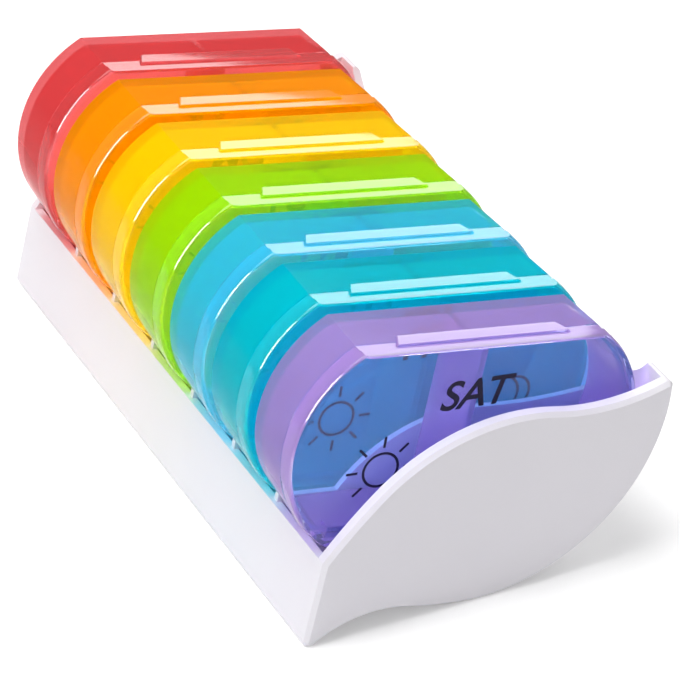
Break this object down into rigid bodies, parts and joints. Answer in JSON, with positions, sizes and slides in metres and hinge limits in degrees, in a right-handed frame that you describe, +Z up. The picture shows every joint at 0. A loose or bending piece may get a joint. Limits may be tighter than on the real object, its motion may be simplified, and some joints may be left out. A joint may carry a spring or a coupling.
{
  "type": "weekly pill organizer",
  "caption": "Weekly pill organizer: clamshell day boxes in rainbow colours stand leaning in a white wave-sided tray; each box lifts out and its front lid opens on a hinge.",
  "frame": {"origin": "middle of the footprint, on the table under the tray", "axes": "+Z up; +Y along the tray from the Saturday box at the front to the Sunday box at the back; +X towards the tray's high side, the way the boxes lean"},
  "size_m": [0.106, 0.1862, 0.08],
  "materials": {
    "tray": "smooth white ABS with a soft gloss",
    "purple": "tinted see-through polypropylene, smooth moulded gloss",
    "teal": "tinted see-through polypropylene, smooth moulded gloss",
    "light_blue": "tinted see-through polypropylene, smooth moulded gloss",
    "green": "tinted see-through polypropylene, smooth moulded gloss",
    "yellow": "tinted see-through polypropylene, smooth moulded gloss",
    "orange": "tinted see-through polypropylene, smooth moulded gloss",
    "red": "tinted see-through polypropylene, smooth moulded gloss"
  },
  "bodies": {
    "tray": {"tray": "tray"},
    "sat_box": {"box_sat": "purple", "hinge_pin_sat": "purple"},
    "sat_lid": {"lid_sat": "purple"},
    "fri_box": {"box_fri": "teal", "hinge_pin_fri": "teal"},
    "fri_lid": {"lid_fri": "teal"},
    "thu_box": {"box_thu": "light_blue", "hinge_pin_thu": "light_blue"},
    "thu_lid": {"lid_thu": "light_blue"},
    "wed_box": {"box_wed": "green", "hinge_pin_wed": "green"},
    "wed_lid": {"lid_wed": "green"},
    "tue_box": {"box_tue": "yellow", "hinge_pin_tue": "yellow"},
    "tue_lid": {"lid_tue": "yellow"},
    "mon_box": {"box_mon": "orange", "hinge_pin_mon": "orange"},
    "mon_lid": {"lid_mon": "orange"},
    "sun_box": {"box_sun": "red", "hinge_pin_sun": "red"},
    "sun_lid": {"lid_sun": "red"}
  },
  "joints": [
    {"name": "sat_lift", "type": "slide", "parent": "tray", "child": "sat_box", "axis": [0.1736, 0, 0.9848], "range_m": [0, 0.276]},
    {"name": "sat_lid_hinge", "type": "hinge", "parent": "sat_box", "child": "sat_lid", "pos_m": [-0.00773, -0.08072, 0.02085], "axis": [0.9848, 0, -0.1736], "range_deg": [0, 60]},
    {"name": "fri_lift", "type": "slide", "parent": "tray", "child": "fri_box", "axis": [0.1736, 0, 0.9848], "range_m": [0, 0.34]},
    {"name": "fri_lid_hinge", "type": "hinge", "parent": "fri_box", "child": "fri_lid", "pos_m": [-0.00773, -0.05548, 0.02085], "axis": [0.9848, 0, -0.1736], "range_deg": [0, 60]},
    {"name": "thu_lift", "type": "slide", "parent": "tray", "child": "thu_box", "axis": [0.1736, 0, 0.9848], "range_m": [0, 0.404]},
    {"name": "thu_lid_hinge", "type": "hinge", "parent": "thu_box", "child": "thu_lid", "pos_m": [-0.00773, -0.03024, 0.02085], "axis": [0.9848, 0, -0.1736], "range_deg": [0, 60]},
    {"name": "wed_lift", "type": "slide", "parent": "tray", "child": "wed_box", "axis": [0.1736, 0, 0.9848], "range_m": [0, 0.276]},
    {"name": "wed_lid_hinge", "type": "hinge", "parent": "wed_box", "child": "wed_lid", "pos_m": [-0.00773, -0.005, 0.02085], "axis": [0.9848, 0, -0.1736], "range_deg": [0, 60]},
    {"name": "tue_lift", "type": "slide", "parent": "tray", "child": "tue_box", "axis": [0.1736, 0, 0.9848], "range_m": [0, 0.34]},
    {"name": "tue_lid_hinge", "type": "hinge", "parent": "tue_box", "child": "tue_lid", "pos_m": [-0.00773, 0.02024, 0.02085], "axis": [0.9848, 0, -0.1736], "range_deg": [0, 60]},
    {"name": "mon_lift", "type": "slide", "parent": "tray", "child": "mon_box", "axis": [0.1736, 0, 0.9848], "range_m": [0, 0.404]},
    {"name": "mon_lid_hinge", "type": "hinge", "parent": "mon_box", "child": "mon_lid", "pos_m": [-0.00773, 0.04548, 0.02085], "axis": [0.9848, 0, -0.1736], "range_deg": [0, 60]},
    {"name": "sun_lift", "type": "slide", "parent": "tray", "child": "sun_box", "axis": [0.1736, 0, 0.9848], "range_m": [0, 0.276]},
    {"name": "sun_lid_hinge", "type": "hinge", "parent": "sun_box", "child": "sun_lid", "pos_m": [-0.00773, 0.07072, 0.02085], "axis": [0.9848, 0, -0.1736], "range_deg": [0, 60]}
  ],
  "couplings": [
    {"joint": "sat_lid_hinge", "follows": "sat_lift", "rad_per_m": 3.794},
    {"joint": "fri_lid_hinge", "follows": "fri_lift", "rad_per_m": 3.079},
    {"joint": "thu_lid_hinge", "follows": "thu_lift", "rad_per_m": 2.592},
    {"joint": "wed_lid_hinge", "follows": "wed_lift", "rad_per_m": 3.794},
    {"joint": "tue_lid_hinge", "follows": "tue_lift", "rad_per_m": 3.079},
    {"joint": "mon_lid_hinge", "follows": "mon_lift", "rad_per_m": 2.592},
    {"joint": "sun_lid_hinge", "follows": "sun_lift", "rad_per_m": 3.794}
  ]
}
